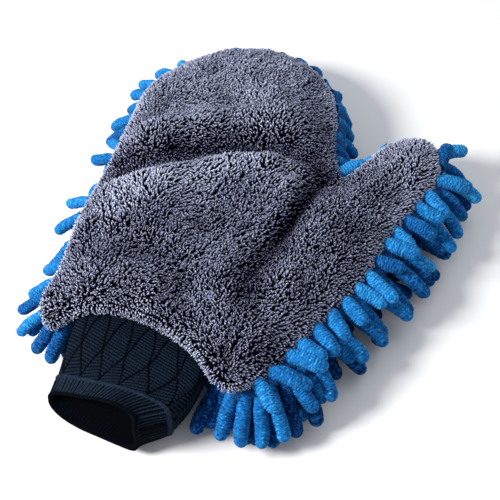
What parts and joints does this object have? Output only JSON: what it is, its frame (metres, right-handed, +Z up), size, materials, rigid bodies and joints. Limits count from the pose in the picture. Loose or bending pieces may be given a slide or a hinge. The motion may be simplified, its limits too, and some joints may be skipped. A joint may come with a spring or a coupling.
{
  "type": "wash mitt",
  "caption": "Wash mitt with a thumb: plush back, chenille palm with rows of soft noodles, a lining and a knitted elastic cuff, lying palm down.",
  "frame": {"origin": "under the middle of the bounding box, on the plane that the noodles rest on", "axes": "+Y from the cuff to the fingertips, +X towards the thumb, +Z up from the noodles to the plush back"},
  "size_m": [0.2209, 0.2954, 0.049],
  "materials": {
    "plush": "grey plush pile",
    "chenille": "blue chenille pile",
    "chenille_ground": "blue knitted ground cloth",
    "lining": "fine dark mesh",
    "knit": "black knit",
    "knit_rib": "black ribbed knit",
    "elastic": "covered elastic",
    "thread": "overlocked seam"
  },
  "bodies": {
    "hand": {"back_panel_hand": "plush", "palm_panel_hand": "chenille_ground", "back_fold_knuckles": "plush", "back_fold_thumb": "plush", "back_lining_hand": "lining", "palm_lining_hand": "lining", "edge_seam_hand_left": "thread", "edge_seam_hand_right": "thread", "noodle_row_hand_01": "chenille", "noodle_row_hand_02": "chenille", "noodle_row_hand_03": "chenille", "noodle_row_hand_04": "chenille", "noodle_row_hand_05": "chenille", "noodle_row_hand_06": "chenille", "noodle_row_hand_07": "chenille", "noodle_row_hand_08": "chenille", "noodle_row_hand_09": "chenille", "noodle_row_hand_10": "chenille", "noodle_row_hand_11": "chenille", "noodle_row_hand_12": "chenille", "noodle_row_hand_13": "chenille"},
    "fingers": {"back_panel_fingers": "plush", "palm_panel_fingers": "chenille_ground", "back_lining_fingers": "lining", "palm_lining_fingers": "lining", "edge_seam_fingers": "thread", "noodle_row_fingers_01": "chenille", "noodle_row_fingers_02": "chenille", "noodle_row_fingers_03": "chenille", "noodle_row_fingers_04": "chenille", "noodle_row_fingers_05": "chenille", "noodle_row_fingers_06": "chenille"},
    "thumb": {"back_panel_thumb": "plush", "palm_panel_thumb": "chenille_ground", "back_lining_thumb": "lining", "palm_lining_thumb": "lining", "edge_seam_thumb": "thread", "noodle_row_thumb_01": "chenille", "noodle_row_thumb_02": "chenille", "noodle_row_thumb_03": "chenille", "noodle_row_thumb_04": "chenille", "noodle_row_thumb_05": "chenille"},
    "cuff": {"cuff_outer_knit": "knit", "cuff_inner_layer": "knit", "cuff_elastic": "elastic", "cuff_hem": "knit_rib"}
  },
  "joints": [
    {"name": "finger_fold", "type": "hinge", "parent": "hand", "child": "fingers", "pos_m": [0.0005, 0.0525, 0.027], "axis": [1, 0, 0], "range_deg": [0, 38], "deforming": ["back_fold_knuckles"]},
    {"name": "thumb_fold", "type": "hinge", "parent": "hand", "child": "thumb", "pos_m": [0.0405, 0.044, 0.027], "axis": [0.848, -0.5299, 0], "range_deg": [0, 38], "deforming": ["back_fold_thumb"]},
    {"name": "cuff_tilt", "type": "hinge", "parent": "hand", "child": "cuff", "pos_m": [-0.0215, -0.1005, 0.0318], "axis": [-1, 0, 0], "range_deg": [0, 14]}
  ]
}
